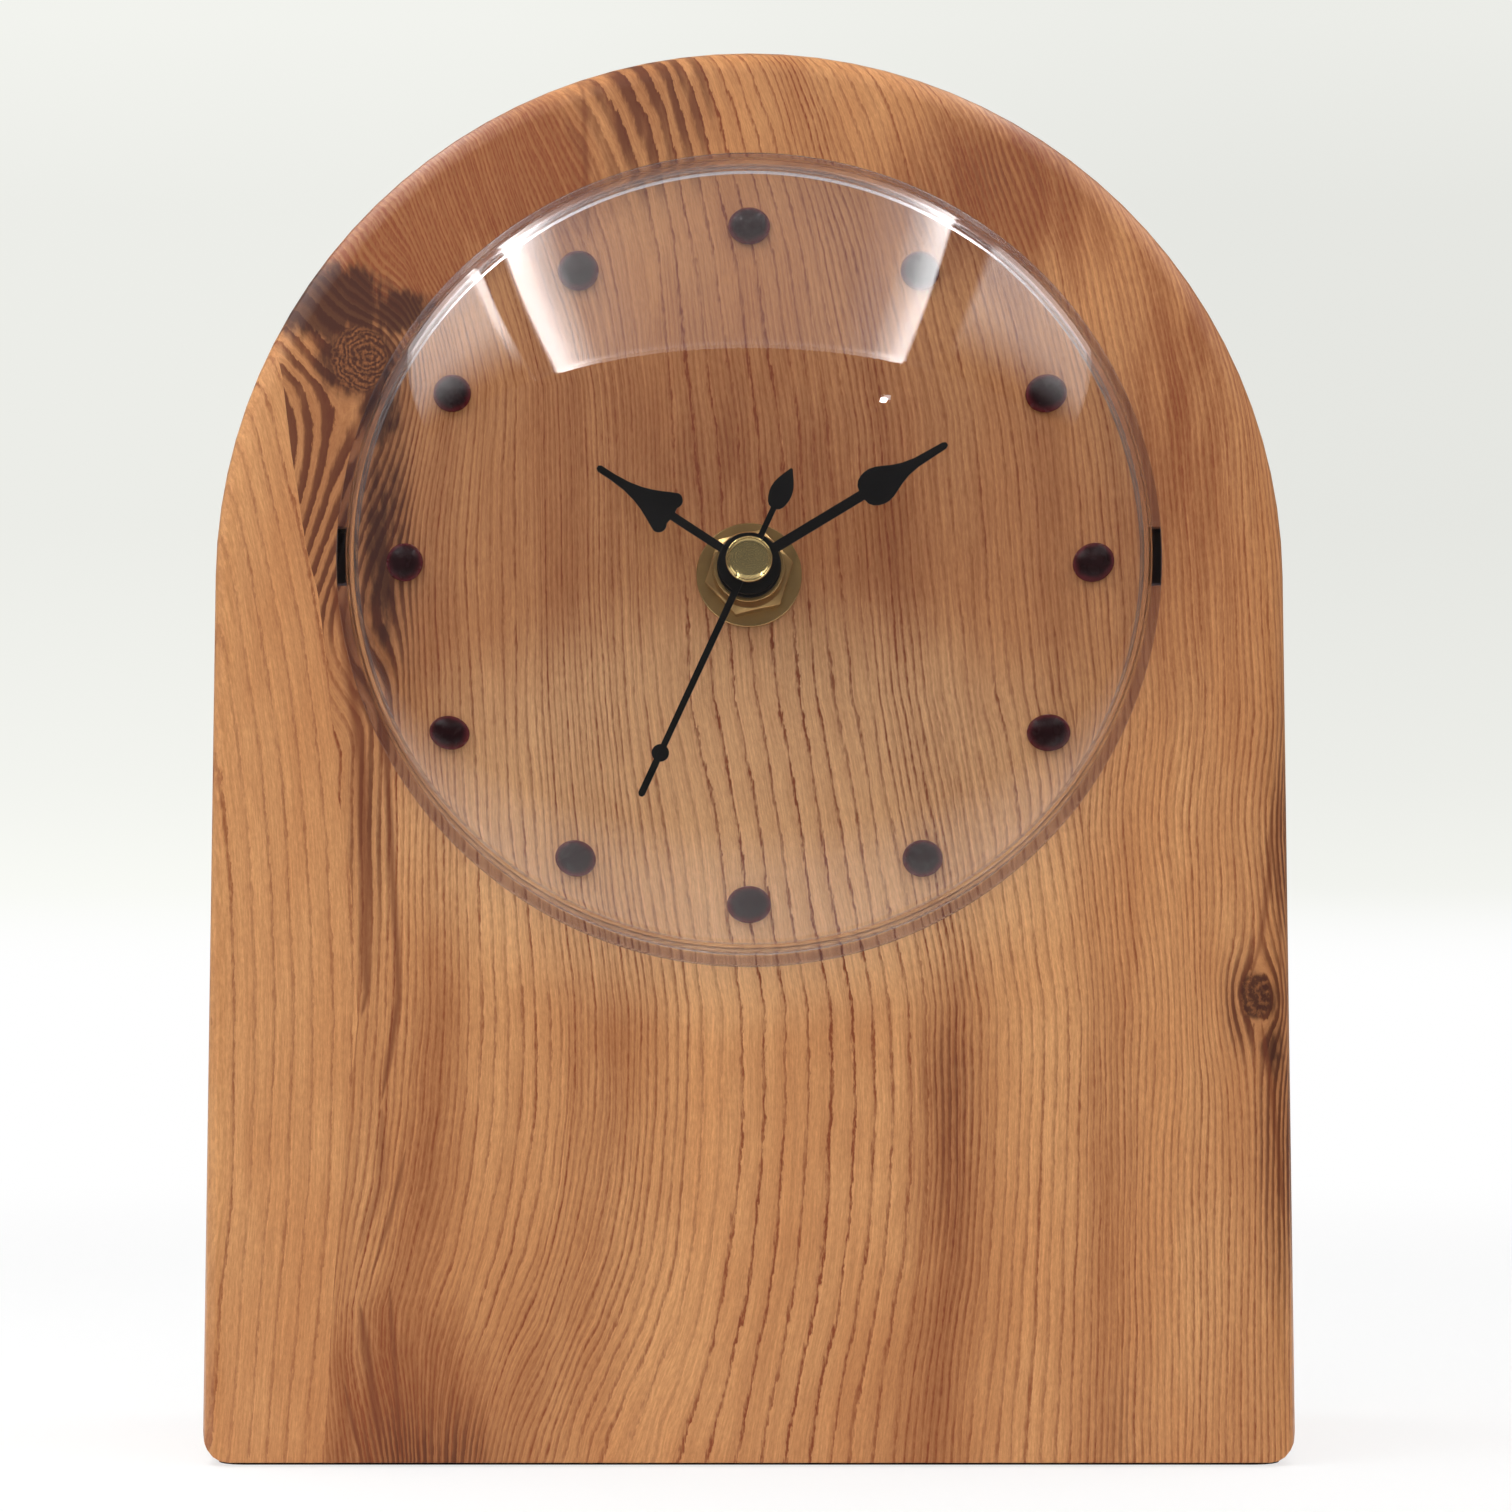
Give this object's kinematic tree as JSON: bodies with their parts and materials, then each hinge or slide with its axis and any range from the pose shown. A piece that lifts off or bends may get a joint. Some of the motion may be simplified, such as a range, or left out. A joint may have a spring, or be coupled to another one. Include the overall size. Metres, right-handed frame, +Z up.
{
  "type": "table clock",
  "caption": "Arched table clock with a leaning wood-grain front, domed clear lens, bead hour markers, black spade hands and a battery quartz movement with gears.",
  "frame": {"origin": "on the table, under the middle of the clock's box", "axes": "+Z up, +X to the right of someone facing the dial, +Y from the dial towards the back"},
  "size_m": [0.156, 0.0619, 0.2052],
  "materials": {
    "wood_film": "wood-grain film, satin varnish",
    "back_board": "dark hardboard",
    "pad": "dark felt",
    "steel": "plated",
    "lens_clear": "clear, polished",
    "bead": "dark, glossy",
    "brass": "polished",
    "hand_black": "black paint, semi-matt",
    "rubber": "matt",
    "black_plastic": "moulded",
    "white_plastic": "moulded",
    "magnet": "sintered",
    "copper": "varnished copper wire",
    "board": "green circuit board",
    "cell": "plain wrap"
  },
  "bodies": {
    "clock": {"case_shell": "wood_film", "rear_cover": "back_board", "base_pad": "pad", "rear_screw_1": "steel", "rear_screw_2": "steel", "rear_screw_3": "steel", "rear_screw_4": "steel", "stator": "steel", "coil_core": "steel", "quartz_crystal": "steel", "contact_positive": "steel", "contact_negative": "steel", "lens": "lens_clear", "hour_marker_01": "bead", "hour_marker_02": "bead", "hour_marker_03": "bead", "hour_marker_04": "bead", "hour_marker_05": "bead", "hour_marker_06": "bead", "hour_marker_07": "bead", "hour_marker_08": "bead", "hour_marker_09": "bead", "hour_marker_10": "bead", "hour_marker_11": "bead", "hour_marker_12": "bead", "flat_washer": "brass", "hex_nut": "brass", "threaded_bushing": "brass", "rubber_gasket": "rubber", "movement_case": "black_plastic", "movement_lid": "black_plastic", "control_chip": "black_plastic", "middle_plate": "white_plastic", "coil": "copper", "circuit_board": "board"},
    "minute": {"minute_hand": "hand_black", "minute_pipe": "white_plastic"},
    "hour": {"hour_hand": "hand_black", "hour_hand_bush": "brass", "hour_wheel": "white_plastic"},
    "motion": {"motion_wheel": "white_plastic"},
    "knob": {"setting_knob": "black_plastic"},
    "second": {"second_hand": "hand_black", "second_cap": "brass", "second_wheel": "white_plastic"},
    "third": {"third_wheel": "white_plastic"},
    "motor_rotor": {"rotor": "white_plastic", "rotor_magnet": "magnet"},
    "intermediate": {"intermediate_wheel": "white_plastic"},
    "centre": {"centre_wheel": "white_plastic"},
    "cell": {"battery": "cell"}
  },
  "joints": [
    {"name": "minute_spin", "type": "hinge", "parent": "clock", "child": "minute", "pos_m": [0, -0.01116, 0.1272], "axis": [0, 0.9903, -0.1392], "continuous": true},
    {"name": "hour_spin", "type": "hinge", "parent": "clock", "child": "hour", "pos_m": [0, -0.01116, 0.1272], "axis": [0, 0.9903, -0.1392], "continuous": true},
    {"name": "motion_spin", "type": "hinge", "parent": "clock", "child": "motion", "pos_m": [-0.00846, -0.01159, 0.12415], "axis": [0, 0.9903, -0.1392], "continuous": true},
    {"name": "knob_spin", "type": "hinge", "parent": "clock", "child": "knob", "pos_m": [-0.01732, -0.01181, 0.1226], "axis": [0, 0.9903, -0.1392], "continuous": true},
    {"name": "second_spin", "type": "hinge", "parent": "clock", "child": "second", "pos_m": [0, -0.01116, 0.1272], "axis": [0, 0.9903, -0.1392], "continuous": true},
    {"name": "third_spin", "type": "hinge", "parent": "clock", "child": "third", "pos_m": [-0.00444, -0.00984, 0.13662], "axis": [0, 0.9903, -0.1392], "continuous": true},
    {"name": "rotor_spin", "type": "hinge", "parent": "clock", "child": "motor_rotor", "pos_m": [-0.01379, -0.00909, 0.14197], "axis": [0, 0.9903, -0.1392], "continuous": true},
    {"name": "intermediate_spin", "type": "hinge", "parent": "clock", "child": "intermediate", "pos_m": [0.00804, -0.01022, 0.13388], "axis": [0, 0.9903, -0.1392], "continuous": true},
    {"name": "centre_spin", "type": "hinge", "parent": "clock", "child": "centre", "pos_m": [0, -0.01116, 0.1272], "axis": [0, 0.9903, -0.1392], "continuous": true},
    {"name": "battery_pull", "type": "slide", "parent": "clock", "child": "cell", "axis": [0, 0.9903, -0.1392], "range_m": [0, 0.018]}
  ],
  "couplings": [
    {"joint": "motion_spin", "follows": "minute_spin", "ratio": -0.33333},
    {"joint": "hour_spin", "follows": "minute_spin", "ratio": 0.083333},
    {"joint": "knob_spin", "follows": "minute_spin", "ratio": 1},
    {"joint": "third_spin", "follows": "second_spin", "ratio": -6},
    {"joint": "rotor_spin", "follows": "second_spin", "ratio": 30},
    {"joint": "intermediate_spin", "follows": "second_spin", "ratio": -0.13333},
    {"joint": "centre_spin", "follows": "second_spin", "ratio": 0.016667}
  ]
}
